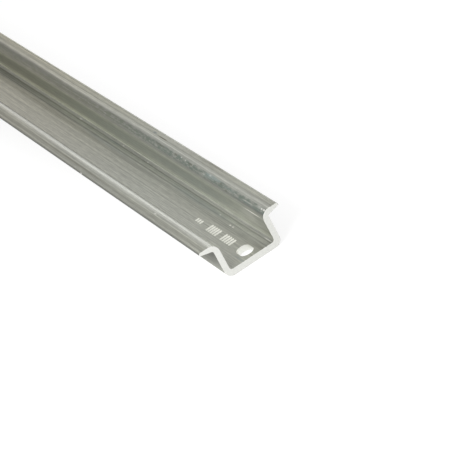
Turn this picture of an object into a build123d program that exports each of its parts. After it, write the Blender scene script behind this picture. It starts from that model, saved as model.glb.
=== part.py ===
from build123d import *
import os

# Top-hat mounting rail: one length of extruded aluminium, with an elongated screw slot near each end.
# The frame has X across the rail, Y along it and Z up, with its origin under the middle of the web.
# All sizes are in millimetres.

# Stock
LENGTH = 1000.0

# Section
OVERALL_WIDTH = 35.0
HEIGHT = 15.0
CHANNEL_WIDTH = 24.5
WALL = 2.4
WEB = 2.5
LIP_TIP_THICKNESS = 1.1

# Corner radii of the section
RIM_RADIUS = 3.6
ROOT_RADIUS = 0.8
FLOOR_RADIUS = 1.25
HEEL_RADIUS = 3.2
TIP_TOP_RADIUS = 0.7
TIP_UNDER_RADIUS = 0.25

# Screw slots
SLOT_WIDTH = 5.6
SLOT_LENGTH = 9.2
SLOT_TO_END = 7.8


def right_half_corners():
    """Corners of the section's right half as (x, z, radius), from the web's underside round to its floor."""
    wall_outside = CHANNEL_WIDTH / 2
    wall_inside = wall_outside - WALL
    tip = OVERALL_WIDTH / 2
    return [
        (wall_outside, 0, HEEL_RADIUS),
        (wall_outside, HEIGHT - WALL, ROOT_RADIUS),
        (tip, HEIGHT - LIP_TIP_THICKNESS, TIP_UNDER_RADIUS),
        (tip, HEIGHT, TIP_TOP_RADIUS),
        (wall_inside, HEIGHT, RIM_RADIUS),
        (wall_inside, WEB, FLOOR_RADIUS),
    ]


def hat_section():
    """The section as a face that stands on the XZ plane, symmetrical about X = 0."""
    right = right_half_corners()
    left = [(-x, z, radius) for x, z, radius in reversed(right)]
    corners = right + left
    outline = FilletPolyline(
        *[(x, z) for x, z, radius in corners],
        radius=[radius for x, z, radius in corners],
        close=True,
    )
    return Plane.XZ * make_face(outline)


def slot_cutters():
    """One bar for each screw slot, with the slot's outline and long enough to pass through the web."""
    from_middle = LENGTH / 2 - SLOT_TO_END
    bar = extrude(SlotOverall(SLOT_LENGTH, SLOT_WIDTH, rotation=90), amount=2 * WEB, both=True)
    return [Pos(0, y, 0) * bar for y in (-from_middle, from_middle)]


def extruded_rail():
    """The whole rail, cut to length and slotted."""
    return extrude(hat_section(), amount=LENGTH / 2, both=True) - slot_cutters()


os.makedirs("parts", exist_ok=True)
export_step(extruded_rail(), "parts/extruded_rail.step")
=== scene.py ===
import math

import bmesh
import bpy
import numpy as np
from mathutils import Euler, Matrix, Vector


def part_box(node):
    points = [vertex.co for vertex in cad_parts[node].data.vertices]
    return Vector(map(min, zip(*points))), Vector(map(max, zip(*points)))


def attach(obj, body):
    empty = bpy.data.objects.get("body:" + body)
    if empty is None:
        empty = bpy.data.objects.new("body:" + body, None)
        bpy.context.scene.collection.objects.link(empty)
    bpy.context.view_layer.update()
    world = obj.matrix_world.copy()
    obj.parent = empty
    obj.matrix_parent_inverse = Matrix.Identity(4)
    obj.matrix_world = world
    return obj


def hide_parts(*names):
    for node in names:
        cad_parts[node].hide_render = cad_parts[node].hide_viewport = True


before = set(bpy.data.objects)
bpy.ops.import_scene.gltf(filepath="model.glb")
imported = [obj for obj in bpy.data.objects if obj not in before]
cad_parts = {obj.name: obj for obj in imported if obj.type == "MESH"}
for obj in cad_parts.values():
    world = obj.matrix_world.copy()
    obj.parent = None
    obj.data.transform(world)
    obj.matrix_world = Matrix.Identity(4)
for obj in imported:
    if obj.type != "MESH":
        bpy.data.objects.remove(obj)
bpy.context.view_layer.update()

# Mounting rail of mill-finish aluminium: a fine mesh of its hat section with die lines and sawn ends.
# X runs across the rail, Y along it and Z up. Lengths are in metres, and in millimetres where a name ends
# in _MM. Distances across the skin run round the section from the middle of the channel's floor, with the
# left side negative. Distances along the rail run from its near end, which is at the low end of Y.

MM = 0.001
NODE = "extruded_rail"
low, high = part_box(NODE)

# Section in millimetres, the overall sizes from the frame
WIDTH_MM = (high.x - low.x) / MM
HEIGHT_MM = (high.z - low.z) / MM
LENGTH_MM = (high.y - low.y) / MM
CHANNEL_WIDTH_MM = 24.5
WALL_MM = 2.4
WEB_MM = 2.5
LIP_TIP_THICKNESS_MM = 1.1
RIM_RADIUS_MM = 3.6
ROOT_RADIUS_MM = 0.8
FLOOR_RADIUS_MM = 1.25
HEEL_RADIUS_MM = 3.2
TIP_TOP_RADIUS_MM = 0.7
TIP_UNDER_RADIUS_MM = 0.25

# Screw slots
SLOT_WIDTH_MM = 5.6
SLOT_LENGTH_MM = 9.2
SLOT_TO_END_MM = 7.8
SLOT_EASE_MM = 0.05
SLOT_SIDES = 48

# Mesh pitch
ACROSS_STEP_MM = 0.14
ALONG_STEP_MM = 20.0
LEAST_ARC_SIDES = 4
END_CHAMFER_MM = 0.05
# Rings near both ends, as distances from the end
CLOSE_RINGS_MM = (0.0, END_CHAMFER_MM, 3.0, 7.0, 12.0, 18.0, 26.0)
SMOOTH_ANGLE_DEG = 30.0


# Section

def section_corners():
    """Corners as (x, z, radius), from the middle of the underside round by the left lip and back."""
    wall_outside = CHANNEL_WIDTH_MM / 2
    wall_inside = wall_outside - WALL_MM
    tip = WIDTH_MM / 2
    left = [
        (-wall_outside, 0, HEEL_RADIUS_MM),
        (-wall_outside, HEIGHT_MM - WALL_MM, ROOT_RADIUS_MM),
        (-tip, HEIGHT_MM - LIP_TIP_THICKNESS_MM, TIP_UNDER_RADIUS_MM),
        (-tip, HEIGHT_MM, TIP_TOP_RADIUS_MM),
        (-wall_inside, HEIGHT_MM, RIM_RADIUS_MM),
        (-wall_inside, WEB_MM, FLOOR_RADIUS_MM),
    ]
    right = [(-x, z, radius) for x, z, radius in reversed(left)]
    return [(0, 0, 0)] + left + right + [(0, 0, 0)]


def run(start, end, step):
    """Points from start up to but without end, about a step apart."""
    count = max(1, round(np.linalg.norm(end - start) / step))
    return [start + (end - start) * number / count for number in range(count)]


def arc(centre, start, end, radius, step):
    """Points round a centre from start up to but without end, about a step apart."""
    first = math.atan2(*(start - centre)[::-1])
    turn = (math.atan2(*(end - centre)[::-1]) - first + math.pi) % (2 * math.pi) - math.pi
    count = max(LEAST_ARC_SIDES, round(abs(turn) * radius / step))
    angles = [first + turn * number / count for number in range(count)]
    return [centre + radius * np.array([math.cos(angle), math.sin(angle)]) for angle in angles]


def section_outline(step):
    """Closed outline of the section, as points, outward normals and distances across the skin."""
    corners = section_corners()
    places = [np.array(corner[:2], float) for corner in corners]
    points = []
    last = places[0]
    for before, here, after, (_, _, radius) in zip(places, places[1:], places[2:], corners[1:]):
        back = (before - here) / np.linalg.norm(before - here)
        on = (after - here) / np.linalg.norm(after - here)
        half = math.acos(back @ on) / 2
        setback = radius / math.tan(half)
        centre = here + (back + on) / np.linalg.norm(back + on) * radius / math.sin(half)
        points += run(last, here + back * setback, step)
        points += arc(centre, here + back * setback, here + on * setback, radius, step)
        last = here + on * setback
    points += run(last, places[-1], step)
    points = np.array(points)
    travel = np.roll(points, -1, axis=0) - np.roll(points, 1, axis=0)
    travel /= np.linalg.norm(travel, axis=1)[:, None]
    normals = np.stack([-travel[:, 1], travel[:, 0]], axis=1)
    gaps = np.linalg.norm(np.roll(points, -1, axis=0) - points, axis=1)
    across = np.concatenate([[0], np.cumsum(gaps)])
    return points, normals, across - across[-1] / 2


# Values across and along the skin

# How many rows to each side a random row is blended with
ROW_REACH = 4
# How many bumps of random values are drawn beyond each end of a row
MARGIN_BUMPS = 4


def smooth_rows(rng, rows, columns, width):
    """Random rows of columns, with bumps some columns wide that change slowly from row to row."""
    margin = MARGIN_BUMPS * width
    noise = rng.standard_normal((rows + 2 * ROW_REACH, columns + 2 * margin))
    for axis, reach in ((1, width), (0, ROW_REACH)):
        window = np.hanning(2 * reach + 1)
        noise = np.apply_along_axis(np.convolve, axis, noise, window, "same")
    noise = noise[ROW_REACH:-ROW_REACH, margin:margin + columns]
    return noise / noise.std()


def fine_line(across, place, width):
    """One on the middle of a line in the skin, fading to nothing beside it."""
    return np.exp(-(((across - place) / (width / 2)) ** 2))


def across_skin(places, across):
    """Values across the skin, which change evenly from each listed place to the next."""
    return np.interp(across, *zip(*places))


def near_share(along):
    """One at the near end, dying away along the rail, as a column."""
    return np.exp(-(along - along[0]) / END_LENGTH_MM)[:, None]


def far_share(along, lengths):
    """Nothing up to the first length from the near end, one from the second on, as a column."""
    return np.interp(along - along[0], lengths, (0, 1))[:, None]


# Relief

# Die lines as (distance across, width, depth), all in millimetres
DIE_LINES_MM = [
    (-27.9, 0.5, 0.012),
    (-26.6, 0.9, 0.015),
    (-0.25, 0.3, 0.010),
    (4.4, 0.6, 0.014),
    (6.25, 0.3, 0.016),
    (8.2, 0.4, 0.018),
    (14.5, 0.8, 0.012),
    (25.9, 0.6, 0.014),
    (27.4, 0.5, 0.012),
]
GRAIN_SEED = 35
# Grain as (width in columns, height in millimetres)
GRAIN_MM = [(2, 0.0006), (6, 0.0015), (18, 0.0040)]


def relief(across, rows):
    """Height in millimetres over the plain skin, one row for each station along the rail."""
    rng = np.random.default_rng(GRAIN_SEED)
    height = np.zeros((rows, len(across)))
    for width, amount in GRAIN_MM:
        height += amount * smooth_rows(rng, rows, len(across), width)
    for place, width, depth in DIE_LINES_MM:
        height -= depth * fine_line(across, place, width)
    return height


# Tone, with painted light and shade

# Lightness of the skin as (distance across in millimetres, factor), with painted light and shade in it
TONE_AND_PAINTED_LIGHT_PLACES_MM = [
    # Left wall outside and the lip from underneath, darker under the lip as painted shade
    (-47.0, 0.80), (-43.0, 0.55), (-39.0, 0.40), (-32.0, 0.40), (-29.0, 0.50),
    # Left lip, darkest at the tip's rounded edge as painted shade
    (-28.2, 0.22), (-27.95, 0.24), (-27.6, 0.71), (-27.2, 1.00), (-27.0, 0.97), (-26.4, 0.73),
    (-26.0, 0.76), (-25.8, 0.745), (-25.4, 0.71), (-24.9, 1.05), (-24.3, 0.92),
    # Left rim, with a painted highlight along its bend and painted shade beside it
    (-23.7, 1.15), (-23.0, 0.89), (-22.5, 0.93), (-22.1, 0.77), (-21.7, 0.65), (-21.0, 0.97), (-20.0, 1.12),
    # Left wall inside and channel floor, lighter on the left and darker towards the right wall as painted
    # light and shade
    (-18.0, 1.15), (-10.0, 1.38), (-4.0, 1.33), (0.8, 1.28), (2.2, 1.18), (4.2, 1.07), (7.0, 1.02),
    # Corner of the channel floor and the right wall, with a painted highlight along it
    (8.8, 0.90), (9.2, 0.71), (9.5, 1.05), (9.9, 1.94), (10.5, 2.09),
    # Right wall inside, with painted light that is brightest by the corner
    (11.0, 1.96), (12.0, 1.49), (13.0, 1.33), (14.2, 1.22), (15.2, 1.15), (16.5, 1.11), (17.7, 1.03),
    # Right rim
    (18.5, 1.11), (19.2, 1.18), (20.0, 0.87), (20.6, 0.66), (21.4, 0.69), (22.4, 0.65), (23.0, 0.76),
    (23.5, 0.94),
    # Right lip, darkest at the tip's rounded edge as painted shade
    (24.1, 1.24), (24.7, 1.09), (25.4, 0.80), (26.1, 1.05), (26.5, 0.99), (27.0, 0.84), (27.8, 0.56),
    # Right lip from underneath, wall outside and underside
    (28.5, 1.00), (43.0, 1.00), (50.0, 0.80),
]
# Narrow pale and dark lines as (distance across, width, change of tone)
TONE_LINES_MM = [
    # Left lip
    (-26.35, 0.4, -0.07), (-24.5, 0.4, -0.03),
    # Channel floor
    (-4.9, 0.8, 0.08), (-4.2, 0.3, -0.03), (-0.9, 0.5, 0.05), (-0.25, 0.35, -0.26), (0.6, 0.7, 0.19),
    (1.5, 0.3, -0.05), (2.2, 0.4, -0.07), (2.9, 0.6, 0.14), (3.8, 0.3, -0.04), (4.4, 0.4, -0.06),
    (5.65, 0.5, 0.16), (6.3, 0.35, -0.42), (6.95, 0.45, 0.08), (7.6, 0.45, 0.17), (8.2, 0.5, -0.34),
    # Right corner, wall, rim and lip
    (8.75, 0.3, 0.08), (9.25, 0.3, -0.04), (12.9, 0.4, -0.05), (15.2, 0.5, 0.04), (18.2, 0.3, -0.05),
    (25.3, 0.3, -0.10),
]
# Painted light falling off along the rail: share by which the tone is up at the near end, and down by as
# much from twice the falloff length on
PAINTED_FALLOFF_PLACES_MM = [
    # Left lip and rim
    (-30.0, 0.0), (-28.0, 0.12), (-27.3, 0.0), (-26.6, -0.02), (-25.9, 0.02), (-25.0, 0.07), (-24.5, -0.01),
    (-24.0, -0.03), (-23.0, 0.04), (-22.1, 0.30), (-21.7, 0.45), (-21.0, 0.35), (-20.0, 0.17), (-10.0, 0.0),
    # Channel floor
    (3.0, 0.0), (4.5, -0.03), (5.4, 0.10), (6.2, 0.26), (7.3, 0.58), (8.2, 0.40),
    # Right corner and wall
    (9.0, 0.36), (10.0, 0.06), (11.0, 0.04), (12.0, 0.06), (13.0, 0.17), (16.0, 0.26),
    # Right rim and lip
    (19.5, 0.12), (20.2, 0.07), (20.6, 0.05), (21.0, 0.07), (21.5, 0.20), (22.7, 0.33), (24.0, -0.02),
    (28.0, -0.03), (30.0, 0.0),
]
PAINTED_FALLOFF_LENGTH_MM = 150.0
# Painted light and shade at the near end alone, as the share by which the tone is up or down there
PAINTED_END_LIGHT_PLACES_MM = [
    # Left wall outside
    (-47.0, 0.0), (-43.0, 0.6), (-40.5, 0.6), (-38.0, 0.15), (-35.5, 0.0), (-28.5, 0.0),
    # Left lip, rim and wall inside
    (-27.8, -0.02), (-27.4, -0.12), (-27.0, 0.12), (-25.6, 0.12), (-23.5, 0.0), (-22.0, -0.04),
    (-21.0, 0.45), (-20.0, 0.72), (-16.0, 0.0),
    # Channel floor
    (-7.0, -0.28), (-5.0, -0.17), (0.0, -0.17), (3.0, -0.24), (4.5, -0.32), (5.6, -0.24), (7.2, -0.34),
    (8.2, -0.34),
    # Right corner and wall
    (9.3, -0.38), (10.0, -0.49), (11.0, -0.53), (12.0, -0.48), (13.0, -0.45), (14.2, -0.28), (16.5, -0.28),
    (17.5, -0.16),
    # Right rim and lip
    (18.7, 0.0), (19.5, -0.11), (20.0, -0.13), (20.4, -0.40), (20.7, -0.46), (21.3, 0.0), (24.6, -0.06),
    (25.3, -0.26), (26.0, -0.12), (26.5, -0.14), (27.0, -0.10), (28.0, 0.0),
]
END_LENGTH_MM = 15.0
# Share by which the tone is up or down in the far part, reached from the first length to the second, partly
# painted light and shade
FAR_TONE_AND_PAINTED_LIGHT_PLACES_MM = [
    # Left lip, and the left rim with a painted highlight and painted shade beside it
    (-26.4, 0.0), (-25.8, -0.12), (-24.3, -0.12), (-23.8, 0.0), (-23.4, 0.08), (-22.7, 0.0), (-22.0, -0.09),
    (-21.5, -0.09), (-20.8, 0.0),
    # Right part of the channel floor and its corner
    (4.5, 0.0), (5.0, -0.08), (5.3, -0.14), (5.6, -0.14), (6.0, -0.02), (6.3, 0.05), (7.7, 0.04),
    (8.2, 0.11), (8.5, 0.12), (9.2, 0.10), (9.6, 0.05), (11.0, 0.0),
]
FAR_LENGTHS_MM = (190.0, 250.0)
STREAK_SEED = 7
# Streaks as (width in columns, change of tone), and their strength as (distance across, share)
STREAKS = [(1, 0.080), (2, 0.045), (5, 0.020), (14, 0.015)]
STREAK_PLACES_MM = [
    (-29.0, 1.2), (-24.0, 1.2), (-20.0, 0.7), (-8.6, 0.5), (1.5, 0.5), (3.0, 1.0), (8.6, 1.1), (12.0, 0.8),
    (20.0, 1.0), (24.0, 1.2), (29.0, 1.2),
]


def tone(across, along):
    """Lightness of the skin with its painted light and shade, one row for each station along the rail."""
    rng = np.random.default_rng(STREAK_SEED)
    shade = across_skin(TONE_AND_PAINTED_LIGHT_PLACES_MM, across)
    for place, width, change in TONE_LINES_MM:
        shade += change * fine_line(across, place, width)
    painted_falloff = np.clip(1 - (along - along[0]) / PAINTED_FALLOFF_LENGTH_MM, -1, 1)[:, None]
    shade = shade * (1 + across_skin(PAINTED_FALLOFF_PLACES_MM, across) * painted_falloff)
    shade *= 1 + across_skin(PAINTED_END_LIGHT_PLACES_MM, across) * near_share(along)
    shade *= 1 + across_skin(FAR_TONE_AND_PAINTED_LIGHT_PLACES_MM, across) * far_share(along, FAR_LENGTHS_MM)
    strength = across_skin(STREAK_PLACES_MM, across)
    for width, change in STREAKS:
        shade *= 1 + strength * change * smooth_rows(rng, len(along), len(across), width)
    return shade


# Cast of the skin as (distance across in millimetres, cast), from -1 for yellowish to 1 for greenish
CAST_PLACES_MM = [
    # Left wall outside, lip, rim and wall inside
    (-45.0, 0.1), (-38.0, -0.1), (-28.0, -0.3), (-25.5, -0.6), (-24.0, -0.2), (-22.6, 0.0), (-10.0, 0.0),
    # Channel floor and right wall
    (-3.0, -0.1), (2.0, -0.25), (5.0, -0.2), (6.2, 0.2), (7.5, 0.4), (8.6, 0.25), (10.0, 0.2), (12.0, 0.1),
    (14.0, 0.4), (17.0, 0.45),
    # Right rim and lip
    (19.0, 0.45), (20.5, 0.1), (21.0, 0.1), (22.0, 0.4), (23.0, 0.15), (23.8, 0.0), (24.6, -0.2),
    (25.5, -0.5), (27.5, -0.6), (28.0, -0.3), (30.0, 0.0),
]
# What the near end adds to the cast
END_CAST_PLACES_MM = [
    (-10.0, 0.0), (-4.0, -0.4), (6.0, -0.3), (9.0, -0.5), (11.0, -0.8), (16.0, -0.8), (19.0, -0.4),
    (20.0, 0.0),
]
# What the far part adds to the cast, reached from the first length to the second
FAR_CAST_PLACES_MM = [
    (3.0, 0.0), (4.0, -0.35), (5.6, -0.3), (6.5, 0.25), (9.0, 0.3), (10.5, 0.35), (19.0, 0.35),
    (20.3, -0.7), (21.5, -0.6), (22.8, -0.4), (24.0, -0.2), (27.5, -0.25), (28.0, 0.0),
]
FAR_CAST_LENGTHS_MM = (110.0, 210.0)


def cast(across, along):
    """Yellowish to greenish cast of the skin, one row for each station along the rail."""
    far = far_share(along, FAR_CAST_LENGTHS_MM)
    casts = across_skin(CAST_PLACES_MM, across) + across_skin(FAR_CAST_PLACES_MM, across) * far
    return casts + across_skin(END_CAST_PLACES_MM, across) * near_share(along)


# Rail mesh

# The map Tone holds the lightness with its painted light and shade, and the cast from 0 to 1 with this value
# for none
NO_CAST = 0.5
# The bake map keeps the skin in its lower part, and the two ends and the slot walls in a strip above it
SKIN_SHARE = 0.9
STRIP_BOTTOM = 0.915
STRIP_HEIGHT = 0.075
END_LEFTS = (0.01, 0.34)
END_SHARE = 0.3
SLOT_LEFTS = (0.67, 0.83)
SLOT_SHARE = 0.15
# The slot wall's length round the slot in the map Skin, and the height that fills the strip
SLOT_ROUND_MM = 30.0
SLOT_STRIP_MM = WEB_MM + 1.0


def stations():
    """Places of the rings along the rail in millimetres, closer together near its ends."""
    end = LENGTH_MM / 2
    close = np.array(CLOSE_RINGS_MM)
    inner = end - close[-1]
    middle = np.linspace(-inner, inner, round(2 * inner / ALONG_STEP_MM) + 1)
    return np.concatenate([close[:-1] - end, middle, end - close[-2::-1]])


def end_place(x, z, far):
    """Place of a point of an end face in the bake map."""
    left = END_LEFTS[far]
    return (left + END_SHARE * (x / WIDTH_MM + 0.5), STRIP_BOTTOM + STRIP_HEIGHT * z / HEIGHT_MM)


def rail_mesh():
    """The rail without its slots, as a closed mesh with the maps Skin, OFBake and Tone."""
    points, normals, across = section_outline(ACROSS_STEP_MM)
    along = stations()
    rows, columns = len(along), len(points)
    heights = relief(across[:-1], rows)
    heights[[0, -1]] -= END_CHAMFER_MM
    shades = tone(across[:-1], along)
    casts = cast(across[:-1], along)
    places = np.zeros((rows, columns, 3))
    places[:, :, 0] = points[:, 0] + normals[:, 0] * heights
    places[:, :, 1] = along[:, None]
    places[:, :, 2] = points[:, 1] + normals[:, 1] * heights
    places = places.reshape(-1, 3)
    from_end = along - along[0]
    round_skin = across[-1] - across[0]
    maps = {"Skin": [], "OFBake": [], "Tone": []}
    faces = []
    for row in range(rows - 1):
        for column in range(columns):
            corners = ((row, column), (row, column + 1), (row + 1, column + 1), (row + 1, column))
            faces.append([ring * columns + line % columns for ring, line in corners])
            for ring, line in corners:
                share_round = (across[line] - across[0]) / round_skin
                here = (ring, line % columns)
                maps["Skin"].append((across[line] * MM, from_end[ring] * MM))
                maps["OFBake"].append((share_round, SKIN_SHARE * from_end[ring] / LENGTH_MM))
                maps["Tone"].append((shades[here], NO_CAST * (1 + casts[here])))
    for row, order in ((0, reversed(range(columns))), (rows - 1, range(columns))):
        face = [row * columns + column for column in order]
        faces.append(face)
        for number in face:
            x, _, z = places[number]
            maps["Skin"].append((x * MM, z * MM))
            maps["OFBake"].append(end_place(x, z, row > 0))
            maps["Tone"].append((1, NO_CAST))
    mesh = bpy.data.meshes.new("rail")
    mesh.from_pydata((places * MM).tolist(), [], faces)
    for name, values in maps.items():
        layer = mesh.uv_layers.new(name=name, do_init=False)
        layer.uv.foreach_set("vector", np.array(values, np.float32).ravel())
    mesh.polygons.foreach_set("use_smooth", [True] * len(mesh.polygons))
    mesh.validate()
    return mesh


def slot_cutter(y, far):
    """A closed bar with the slot's outline, flared a little at the channel's floor to ease the edge."""
    straight = (SLOT_LENGTH_MM - SLOT_WIDTH_MM) / 2
    levels = [
        (-WEB_MM, 0),
        (0.0, 0),
        (WEB_MM - SLOT_EASE_MM, 0),
        (WEB_MM + SLOT_EASE_MM, 2 * SLOT_EASE_MM),
        (2 * WEB_MM, 2 * SLOT_EASE_MM),
    ]
    made = bmesh.new()
    skin = made.loops.layers.uv.new("Skin")
    bake = made.loops.layers.uv.new("OFBake")
    rings = []
    for z, grow in levels:
        radius = SLOT_WIDTH_MM / 2 + grow
        ring = []
        for side in range(SLOT_SIDES):
            angle = 2 * math.pi * side / SLOT_SIDES
            shift = straight if math.sin(angle) >= 0 else -straight
            place = Vector((radius * math.cos(angle), y + shift + radius * math.sin(angle), z))
            ring.append(made.verts.new(place * MM))
        rings.append(ring)
    for level in range(len(levels) - 1):
        for side in range(SLOT_SIDES):
            corners = ((level, side), (level, side + 1), (level + 1, side + 1), (level + 1, side))
            face = made.faces.new([rings[ring][line % SLOT_SIDES] for ring, line in corners])
            for loop, (ring, line) in zip(face.loops, corners):
                height = levels[ring][0]
                share_up = max(0, min(1, height / SLOT_STRIP_MM))
                left = SLOT_LEFTS[far] + SLOT_SHARE * line / SLOT_SIDES
                loop[skin].uv = (line / SLOT_SIDES * SLOT_ROUND_MM * MM, height * MM)
                loop[bake].uv = (left, STRIP_BOTTOM + STRIP_HEIGHT * share_up)
    made.faces.new(list(reversed(rings[0])))
    made.faces.new(rings[-1])
    for face in made.faces:
        face.smooth = True
    mesh = bpy.data.meshes.new("slot_cutter")
    made.to_mesh(mesh)
    made.free()
    return mesh


def add_object(name, mesh):
    """A new object in the scene's own collection."""
    made = bpy.data.objects.new(name, mesh)
    bpy.context.scene.collection.objects.link(made)
    return made


def cut_slots(rail, metal):
    """Cuts a slot with walls of this metal near each end, and keeps the result as the rail's own mesh."""
    for far, side in enumerate((-1, 1)):
        cutter = add_object("cutter", slot_cutter(side * (LENGTH_MM / 2 - SLOT_TO_END_MM), far))
        cutter.data.materials.append(metal)
        cut = rail.modifiers.new("slot", "BOOLEAN")
        cut.operation = "DIFFERENCE"
        cut.solver = "EXACT"
        cut.material_mode = "TRANSFER"
        cut.object = cutter
        bpy.context.view_layer.update()
        graph = bpy.context.evaluated_depsgraph_get()
        result = bpy.data.meshes.new_from_object(rail.evaluated_get(graph))
        rail.modifiers.clear()
        rail.data = result
        bpy.data.objects.remove(cutter)
    rail.data.name = "rail"


# Ink

# Plain printed bars on the channel floor, as groups of (middle of the first bar, bars, left end, right end)
INK_GROUPS_MM = [(19.6, 5, -2.1, 1.5), (33.9, 5, -2.1, 1.5), (50.8, 3, -1.2, 0.6)]
INK_PITCH_MM = 2.1
INK_BREADTH_MM = 1.5
INK_UNDER_MM = 0.03
INK_OVER_MM = 0.04
INK_CORNER_MM = 0.25


def ink_mesh():
    """Thin pads of ink with cut corners that lie in the skin."""
    made = bmesh.new()
    cut = INK_CORNER_MM
    for first, count, left, right in INK_GROUPS_MM:
        for bar in range(count):
            near = first - LENGTH_MM / 2 + bar * INK_PITCH_MM - INK_BREADTH_MM / 2
            far = near + INK_BREADTH_MM
            outline = [
                (left + cut, near), (right - cut, near), (right, near + cut), (right, far - cut),
                (right - cut, far), (left + cut, far), (left, far - cut), (left, near + cut),
            ]
            under, over = (
                [made.verts.new(Vector((x, y, WEB_MM + z)) * MM) for x, y in outline]
                for z in (-INK_UNDER_MM, INK_OVER_MM)
            )
            made.faces.new(list(reversed(under)))
            made.faces.new(over)
            for corner in range(len(outline)):
                made.faces.new((under[corner - 1], under[corner], over[corner], over[corner - 1]))
    mesh = bpy.data.meshes.new("ink_marks")
    made.to_mesh(mesh)
    made.free()
    return mesh


# Materials

BUMP_DEPTH = 0.00002
# Sockets for the colours of a mix node
FIRST_COLOUR = 6
SECOND_COLOUR = 7
MIXED_COLOUR = 2
# Spans of a noise from its low to its high values
WIDE_SPAN = (0.2, 0.8)
MIDDLE_SPAN = (0.25, 0.75)
NARROW_SPAN = (0.3, 0.7)


class Nodes:
    """Short ways to add the nodes of one material."""

    def __init__(self, name):
        self.material = bpy.data.materials.new(name)
        self.material.use_nodes = True
        self.tree = self.material.node_tree
        self.shader = self.tree.nodes["Principled BSDF"]

    def add(self, kind, **settings):
        """A new node of this kind."""
        node = self.tree.nodes.new("ShaderNode" + kind)
        for name, value in settings.items():
            setattr(node, name, value)
        return node

    def link(self, source, target):
        """Joins a socket to a target socket, or sets the target to a plain value."""
        if isinstance(source, bpy.types.NodeSocket):
            self.tree.links.new(source, target)
        else:
            target.default_value = source

    def math(self, operation, *values):
        """The result of one operation on the values."""
        node = self.add("Math", operation=operation)
        for value, socket in zip(values, node.inputs):
            self.link(value, socket)
        return node.outputs[0]

    def product(self, first, *others):
        """The first value times each of the others in turn."""
        for value in others:
            first = self.math("MULTIPLY", first, value)
        return first

    def ease(self, value, span, result=(0.0, 1.0)):
        """The result's first value at the start of the span and its last at the end, eased between them."""
        node = self.add("MapRange", interpolation_type="SMOOTHSTEP")
        for source, socket in zip((value, *span, *result), node.inputs):
            self.link(source, socket)
        return node.outputs[0]

    def vector(self, x, y):
        """A vector of two values."""
        node = self.add("CombineXYZ")
        self.link(x, node.inputs[0])
        self.link(y, node.inputs[1])
        return node.outputs[0]

    def map_values(self, name):
        """The two values that a map holds."""
        node = self.add("SeparateXYZ")
        self.link(self.add("UVMap", uv_map=name).outputs[0], node.inputs[0])
        return node.outputs[0], node.outputs[1]

    def skin_place(self):
        """Distances across and along the rail in millimetres, from the Skin map."""
        return [self.math("MULTIPLY", value, 1 / MM) for value in self.map_values("Skin")]

    def noise(self, vector, scale, detail, roughness):
        """Noise from 0 to 1."""
        node = self.add("TexNoise")
        self.link(vector, node.inputs["Vector"])
        node.inputs["Scale"].default_value = scale
        node.inputs["Detail"].default_value = detail
        node.inputs["Roughness"].default_value = roughness
        return node.outputs["Fac"]

    def grain(self, place, width, length, detail, roughness):
        """Noise at a place on the skin, with grains of this width and length in millimetres."""
        shares = [self.math("DIVIDE", distance, size) for distance, size in zip(place, (width, length))]
        return self.noise(self.vector(*shares), 1.0, detail, roughness)

    def mix(self, amount, first, second, blend="MIX"):
        """Two colours blended by an amount."""
        node = self.add("Mix", data_type="RGBA", blend_type=blend)
        self.link(amount, node.inputs["Factor"])
        self.link(first, node.inputs[FIRST_COLOUR])
        self.link(second, node.inputs[SECOND_COLOUR])
        return node.outputs[MIXED_COLOUR]

    def finish(self, colour, metallic, roughness, height, strength):
        """Gives these to the shader, with the height as a fine bump, and returns the material."""
        bump = self.add("Bump")
        bump.inputs["Strength"].default_value = strength
        bump.inputs["Distance"].default_value = BUMP_DEPTH
        self.link(height, bump.inputs["Height"])
        self.link(colour, self.shader.inputs["Base Color"])
        self.link(metallic, self.shader.inputs["Metallic"])
        self.link(roughness, self.shader.inputs["Roughness"])
        self.link(bump.outputs["Normal"], self.shader.inputs["Normal"])
        return self.material


# Mill finish, with its colours at the first and the second length, and what a full cast multiplies them by
MILL_LENGTHS_MM = (100.0, 300.0)
MILL_COLOUR_NEAR = (0.374, 0.381, 0.338, 1)
MILL_COLOUR_FAR = (0.390, 0.378, 0.320, 1)
YELLOWISH_CAST = (1.0, 0.99, 0.90, 1)
GREENISH_CAST = (0.935, 1.0, 0.945, 1)
MILL_METALLIC = 0.7
MILL_ROUGHNESS = (0.36, 0.44)
MILL_BUMP = 0.15

# Streaks, spots and scores as (width, length, detail, roughness), and the lowest and highest tone they give
BROAD_GRAIN_MM = (1.6, 400.0, 3.0, 0.55)
BROAD_TONES = (0.94, 1.06)
FINE_GRAIN_MM = (0.35, 60.0, 3.0, 0.6)
FINE_TONES = (0.87, 1.13)
MOTTLE_GRAIN_MM = (0.45, 8.0, 4.0, 0.65)
MOTTLE_TONES = (0.87, 1.13)
SCORE_GRAIN_MM = (0.07, 40.0, 2.0, 0.6)
# Power of the fine streaks' tones at the first and at the second of the mill finish's lengths
FINE_POWERS = (1.0, 1.4)

# The left wall's outside is duller, and its dullness grows over these spans from the lip's tip and the foot
DULL_TOP_MM = (-28.5, -33.0)
DULL_FOOT_MM = (-52.0, -47.0)
DULL_ROUGHNESS = 0.35

# Blotchy stain on the right rim, with its edges across and its changes along the rail
STAIN_GRAIN_MM = (0.7, 5.0, 5.0, 0.75)
STAIN_SPAN = (0.40, 0.58)
STAIN_COVER = (0.0, 0.9)
STAIN_LEFT_MM = (20.2, 21.0)
STAIN_RIGHT_MM = (23.4, 22.6)
STAIN_NEAR_LENGTHS_MM = (20.0, 70.0)
STAIN_NEAR_SHARES = (0.9, 1.0)
STAIN_FAR_LENGTHS_MM = (90.0, 260.0)
STAIN_FAR_SHARES = (1.0, 0.6)
STAIN_COLOUR_LENGTHS_MM = (90.0, 200.0)
STAIN_COLOUR_NEAR = (0.135, 0.175, 0.143, 1)
STAIN_COLOUR_FAR = (0.155, 0.168, 0.105, 1)

# A mark fades in from the first to the second of these shares of its half width and half length
MARK_EDGE = (1.0, 0.4)
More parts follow.
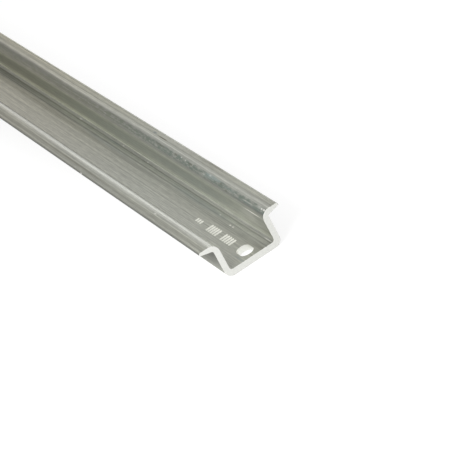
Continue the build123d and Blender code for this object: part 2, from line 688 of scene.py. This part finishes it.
# Marks as (distance across, distance along, half width, half length, strength)
# Pale scratches and specks, with their glints painted in as pale spots
PALE_AND_GLINT_COLOUR = (0.97, 0.95, 0.90, 1)
PALE_AND_GLINT_MARKS_MM = [
    # Left lip
    (-28.0, 129.0, 0.5, 1.5, 0.45), (-24.3, 53.0, 0.4, 1.6, 0.4),
    # Channel floor, with a painted highlight along the corner near the end
    (4.7, 158.0, 1.0, 30.0, 0.05), (5.3, 31.0, 0.5, 1.1, 0.6), (5.3, 33.8, 0.5, 1.1, 0.7),
    (6.7, 47.0, 0.4, 1.0, 0.4), (8.7, 130.0, 0.4, 1.2, 0.3), (8.8, 4.5, 0.28, 5.0, 0.4),
    (8.8, 211.0, 0.5, 2.4, 0.3), (9.0, 159.0, 0.4, 1.4, 0.25),
    # Right wall
    (15.8, 17.5, 3.4, 10.5, 0.18), (18.75, 11.4, 0.42, 10.2, 1.0),
    # Right rim and lip
    (21.65, 16.0, 0.35, 7.0, 0.18), (21.8, 60.5, 0.4, 1.5, 0.2), (22.3, 3.3, 0.4, 1.0, 0.8),
    (22.4, 1.2, 0.45, 1.0, 0.9), (22.4, 4.0, 0.7, 6.0, 0.22), (22.6, 81.0, 0.5, 0.9, 0.4),
    (22.7, 55.0, 0.5, 1.5, 0.25), (22.7, 85.5, 0.5, 0.7, 0.4), (26.7, 103.0, 1.2, 32.0, 0.08),
]
# Dark lines and blotches, and painted shade along the left tip's edge
DARK_AND_SHADE_COLOUR = (0.120, 0.110, 0.078, 1)
DARK_AND_SHADE_MARKS_MM = [
    # Left lip, the first mark painted shade along the tip's rounded edge
    (-27.9, 120.0, 0.3, 60.0, 0.4), (-25.8, 210.0, 0.3, 50.0, 0.35), (-25.7, 145.0, 0.5, 60.0, 0.5),
    # Channel floor
    (6.5, 120.0, 0.9, 30.0, 0.12),
    # Right rim
    (21.0, 37.0, 0.6, 1.8, 0.35), (22.2, 43.5, 0.6, 1.6, 0.45), (22.3, 75.5, 0.6, 2.6, 0.5),
    (22.5, 91.5, 0.6, 2.2, 0.45), (22.5, 108.0, 0.6, 7.0, 0.3),
    # Right lip
    (25.4, 112.0, 0.4, 6.5, 0.9), (25.85, 121.6, 0.6, 1.8, 0.35), (26.9, 60.0, 1.1, 17.0, 0.18),
    (27.4, 59.0, 0.6, 12.0, 0.65),
]
TEAL_COLOUR = (0.20, 0.25, 0.26, 1)
TEAL_MARKS_MM = [
    # Channel floor
    (-4.1, 3.0, 0.6, 8.0, 0.38), (5.6, 170.0, 1.0, 40.0, 0.20), (6.6, 68.0, 1.6, 40.0, 0.26),
    (8.1, 168.0, 0.7, 10.0, 0.3),
    # Right wall, rim and lip
    (14.5, 80.0, 4.0, 60.0, 0.25), (14.5, 180.0, 4.0, 90.0, 0.15), (21.0, 12.0, 0.8, 26.0, 0.08),
    (25.8, 121.6, 0.6, 2.4, 0.7),
]
PALE_TEAL_COLOUR = (0.30, 0.355, 0.335, 1)
PALE_TEAL_MARKS_MM = [
    # Right rim
    (21.7, 56.0, 0.7, 8.0, 0.35), (22.0, 34.0, 0.9, 8.0, 0.2), (22.6, 52.0, 0.9, 11.0, 0.75),
]


def mark_mask(nodes, place, marks):
    """Soft spots at the places of the marks, in one value."""
    total = 0.0
    for *middle, half_width, half_length, strength in marks:
        shares = [
            nodes.math("DIVIDE", nodes.math("SUBTRACT", distance, centre), half)
            for distance, centre, half in zip(place, middle, (half_width, half_length))
        ]
        reach = nodes.add("VectorMath", operation="LENGTH")
        nodes.link(nodes.vector(*shares), reach.inputs[0])
        total = nodes.math("MAXIMUM", total, nodes.ease(reach.outputs["Value"], MARK_EDGE, (0.0, strength)))
    return total


def metal_and_painted_light(nodes, place, fine):
    """Colour of the extruded skin before its stain and marks, from its lightness with painted light and
    shade, its cast and its streaks.
    """
    along = place[1]
    lightness, cast_value = nodes.map_values("Tone")
    broad = nodes.grain(place, *BROAD_GRAIN_MM)
    mottle = nodes.grain(place, *MOTTLE_GRAIN_MM)
    power = nodes.ease(along, MILL_LENGTHS_MM, FINE_POWERS)
    tone_value = nodes.product(
        lightness,
        nodes.ease(broad, MIDDLE_SPAN, BROAD_TONES),
        nodes.math("POWER", nodes.ease(fine, MIDDLE_SPAN, FINE_TONES), power),
        nodes.ease(mottle, NARROW_SPAN, MOTTLE_TONES),
    )
    metal = nodes.mix(nodes.ease(along, MILL_LENGTHS_MM), MILL_COLOUR_NEAR, MILL_COLOUR_FAR)
    metal = nodes.mix(nodes.ease(cast_value, (NO_CAST, 0.0)), metal, YELLOWISH_CAST, "MULTIPLY")
    metal = nodes.mix(nodes.ease(cast_value, (NO_CAST, 1.0)), metal, GREENISH_CAST, "MULTIPLY")
    return nodes.mix(1.0, metal, tone_value, "MULTIPLY")


def stained(nodes, place, colour):
    """The colour with the right rim's stain over it."""
    across, along = place
    blotch = nodes.grain(place, *STAIN_GRAIN_MM)
    stain = nodes.product(
        nodes.ease(across, STAIN_LEFT_MM),
        nodes.ease(across, STAIN_RIGHT_MM),
        nodes.ease(blotch, STAIN_SPAN, STAIN_COVER),
        nodes.ease(along, STAIN_NEAR_LENGTHS_MM, STAIN_NEAR_SHARES),
        nodes.ease(along, STAIN_FAR_LENGTHS_MM, STAIN_FAR_SHARES),
    )
    stain_colour = nodes.mix(nodes.ease(along, STAIN_COLOUR_LENGTHS_MM), STAIN_COLOUR_NEAR, STAIN_COLOUR_FAR)
    return nodes.mix(stain, colour, stain_colour)


def mill_finish():
    """Extruded surface: long streaks along the rail with painted light and shade, a stained right rim, small
    marks with some painted glints and shade, and fine scores.
    """
    nodes = Nodes("mill_aluminium")
    place = nodes.skin_place()
    across = place[0]
    fine = nodes.grain(place, *FINE_GRAIN_MM)
    colour = stained(nodes, place, metal_and_painted_light(nodes, place, fine))
    for marks, mark_colour in (
        (PALE_TEAL_MARKS_MM, PALE_TEAL_COLOUR),
        (TEAL_MARKS_MM, TEAL_COLOUR),
        (DARK_AND_SHADE_MARKS_MM, DARK_AND_SHADE_COLOUR),
        (PALE_AND_GLINT_MARKS_MM, PALE_AND_GLINT_COLOUR),
    ):
        colour = nodes.mix(mark_mask(nodes, place, marks), colour, mark_colour)
    dull_foot = nodes.ease(across, DULL_FOOT_MM, (0.0, DULL_ROUGHNESS))
    dull = nodes.product(nodes.ease(across, DULL_TOP_MM), dull_foot)
    roughness = nodes.math("ADD", nodes.ease(fine, WIDE_SPAN, MILL_ROUGHNESS), dull)
    scores = nodes.grain(place, *SCORE_GRAIN_MM)
    return nodes.finish(colour, MILL_METALLIC, roughness, scores, MILL_BUMP)


PUNCHED_COLOURS = ((0.84, 0.845, 0.80, 1), (0.91, 0.915, 0.87, 1))
PUNCHED_GRAIN_MM = (0.12, 2.0, 3.0, 0.6)
PUNCHED_METALLIC = 1.0
PUNCHED_ROUGHNESS = 0.42
PUNCHED_BUMP = 0.2


def punched_finish():
    """Bright sheared metal inside the screw slots, with faint upright scores."""
    nodes = Nodes("punched_aluminium")
    scores = nodes.grain(nodes.skin_place(), *PUNCHED_GRAIN_MM)
    colour = nodes.mix(nodes.ease(scores, NARROW_SPAN), *PUNCHED_COLOURS)
    return nodes.finish(colour, PUNCHED_METALLIC, PUNCHED_ROUGHNESS, scores, PUNCHED_BUMP)


INK_COLOUR = (0.96, 0.96, 0.88, 1)
WORN_INK_COLOUR = (0.55, 0.56, 0.50, 1)
# Wear as (scale, detail, roughness), the span of it that shows and how much it covers
INK_WEAR = (1100.0, 3.0, 0.6)
INK_WEAR_SPAN = (0.60, 0.75)
INK_WEAR_COVER = (0.0, 0.6)
INK_METALLIC = 0.0
INK_ROUGHNESS = 0.6
INK_BUMP = 0.2


def ink_finish():
    """Off-white print that has worn thin in places."""
    nodes = Nodes("white_ink")
    worn = nodes.noise(nodes.add("TexCoord").outputs["Object"], *INK_WEAR)
    colour = nodes.mix(nodes.ease(worn, INK_WEAR_SPAN, INK_WEAR_COVER), INK_COLOUR, WORN_INK_COLOUR)
    return nodes.finish(colour, INK_METALLIC, INK_ROUGHNESS, worn, INK_BUMP)


SAWN_COLOUR = (0.77, 0.775, 0.735, 1)
SAWN_BLOTCH_MM = (0.8, 0.8, 3.0, 0.6)
SAWN_GRAIN_MM = (0.1, 0.4, 2.0, 0.6)
SAWN_TONES = (0.95, 1.04)
SAWN_METALLIC = 0.2
SAWN_ROUGHNESS = 0.65
SAWN_BUMP = 0.3


def sawn_finish():
    """Matt cut metal, faintly blotchy, with a fine upright grain."""
    nodes = Nodes("sawn_aluminium")
    place = nodes.skin_place()
    blotch = nodes.grain(place, *SAWN_BLOTCH_MM)
    grain = nodes.grain(place, *SAWN_GRAIN_MM)
    tones = nodes.product(*(nodes.ease(noise, WIDE_SPAN, SAWN_TONES) for noise in (blotch, grain)))
    colour = nodes.mix(1.0, SAWN_COLOUR, tones, "MULTIPLY")
    return nodes.finish(colour, SAWN_METALLIC, SAWN_ROUGHNESS, grain, SAWN_BUMP)


# Studio

FLOOR_SIZE = 140.0
FLOOR_DROP = 0.0001
FLOOR_COLOUR = (0.3, 0.3, 0.3, 1)
FLOOR_GLOW = 0.8
WHITE = (1, 1, 1, 1)
WORLD_LEVEL = 0.68
# Soft panels face a point over the near end, as (name, direction, distance, size, radiance)
LIT_HEIGHT = 0.01
PANELS = [
    ("back_panel", (0.416, 0.89, 0.187), 4.0, (1.5, 0.9), 2.6),
    ("front_panel", (-0.72, -0.45, 0.53), 0.35, (0.25, 0.25), 8.0),
]


def floor_finish():
    """White paper that keeps a faint shadow."""
    nodes = Nodes("floor")
    nodes.shader.inputs["Base Color"].default_value = FLOOR_COLOUR
    nodes.shader.inputs["Roughness"].default_value = 1.0
    nodes.shader.inputs["Specular IOR Level"].default_value = 0.0
    nodes.shader.inputs["Emission Color"].default_value = WHITE
    path = nodes.add("LightPath")
    seen = nodes.math("MAXIMUM", path.outputs["Is Camera Ray"], path.outputs["Is Glossy Ray"])
    seen = nodes.math("MAXIMUM", seen, path.outputs["Is Transmission Ray"])
    nodes.link(nodes.math("MULTIPLY", seen, FLOOR_GLOW), nodes.shader.inputs["Emission Strength"])
    return nodes.material


def make_floor():
    """A plain floor just under the rail."""
    mesh = bpy.data.meshes.new("floor")
    half = FLOOR_SIZE / 2
    corners = [(-half, -half, 0), (half, -half, 0), (half, half, 0), (-half, half, 0)]
    mesh.from_pydata(corners, [], [(0, 1, 2, 3)])
    floor = add_object("floor", mesh)
    floor.location.z = -FLOOR_DROP
    mesh.materials.append(floor_finish())


def soft_panel(name, place, target, size, radiance):
    """A rectangular lamp at place that faces target."""
    lamp = bpy.data.lights.new(name, "AREA")
    lamp.shape = "RECTANGLE"
    lamp.size, lamp.size_y = size
    lamp.energy = radiance * math.pi * size[0] * size[1]
    made = add_object(name, lamp)
    made.location = place
    made.rotation_euler = (target - place).to_track_quat("-Z", "Y").to_euler()
    made.visible_camera = False


def make_lights():
    """An even white world and the soft panels."""
    world = bpy.data.worlds.new("studio")
    world.use_nodes = True
    background = world.node_tree.nodes["Background"]
    background.inputs["Color"].default_value = WHITE
    background.inputs["Strength"].default_value = WORLD_LEVEL
    bpy.context.scene.world = world
    near_end = Vector((0, low.y, LIT_HEIGHT))
    for name, direction, distance, size, radiance in PANELS:
        soft_panel(name, near_end + Vector(direction) * distance, near_end, size, radiance)


# Camera

CAMERA_PLACE = (-0.23454, -1.57447, 0.49879)
CAMERA_TURN_DEG = (63.5505, 25.9297, -24.4058)
CAMERA_LENS_MM = 262.83
CAMERA_SENSOR_MM = 36.0


def make_camera():
    """The camera, which looks down on the near end from in front of it and a little to its left."""
    lens = bpy.data.cameras.new("camera")
    lens.lens = CAMERA_LENS_MM
    lens.sensor_width = CAMERA_SENSOR_MM
    camera = add_object("camera", lens)
    camera.location = CAMERA_PLACE
    camera.rotation_euler = Euler([math.radians(angle) for angle in CAMERA_TURN_DEG])
    bpy.context.scene.camera = camera


# Build

mill_metal = mill_finish()
sawn_metal = sawn_finish()
punched_metal = punched_finish()
rail = add_object("rail", rail_mesh())
for metal in (mill_metal, sawn_metal, punched_metal):
    rail.data.materials.append(metal)
for face in rail.data.polygons:
    face.material_index = int(abs(face.center.y) > (LENGTH_MM / 2 - END_CHAMFER_MM) * MM)
cut_slots(rail, punched_metal)
rail.data.set_sharp_from_angle(angle=math.radians(SMOOTH_ANGLE_DEG))
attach(rail, "root")
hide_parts(NODE)

ink_marks = add_object("ink_marks", ink_mesh())
ink_marks.data.materials.append(ink_finish())
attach(ink_marks, "root")

make_floor()
make_lights()
make_camera()
bpy.context.scene.view_settings.view_transform = "Standard"
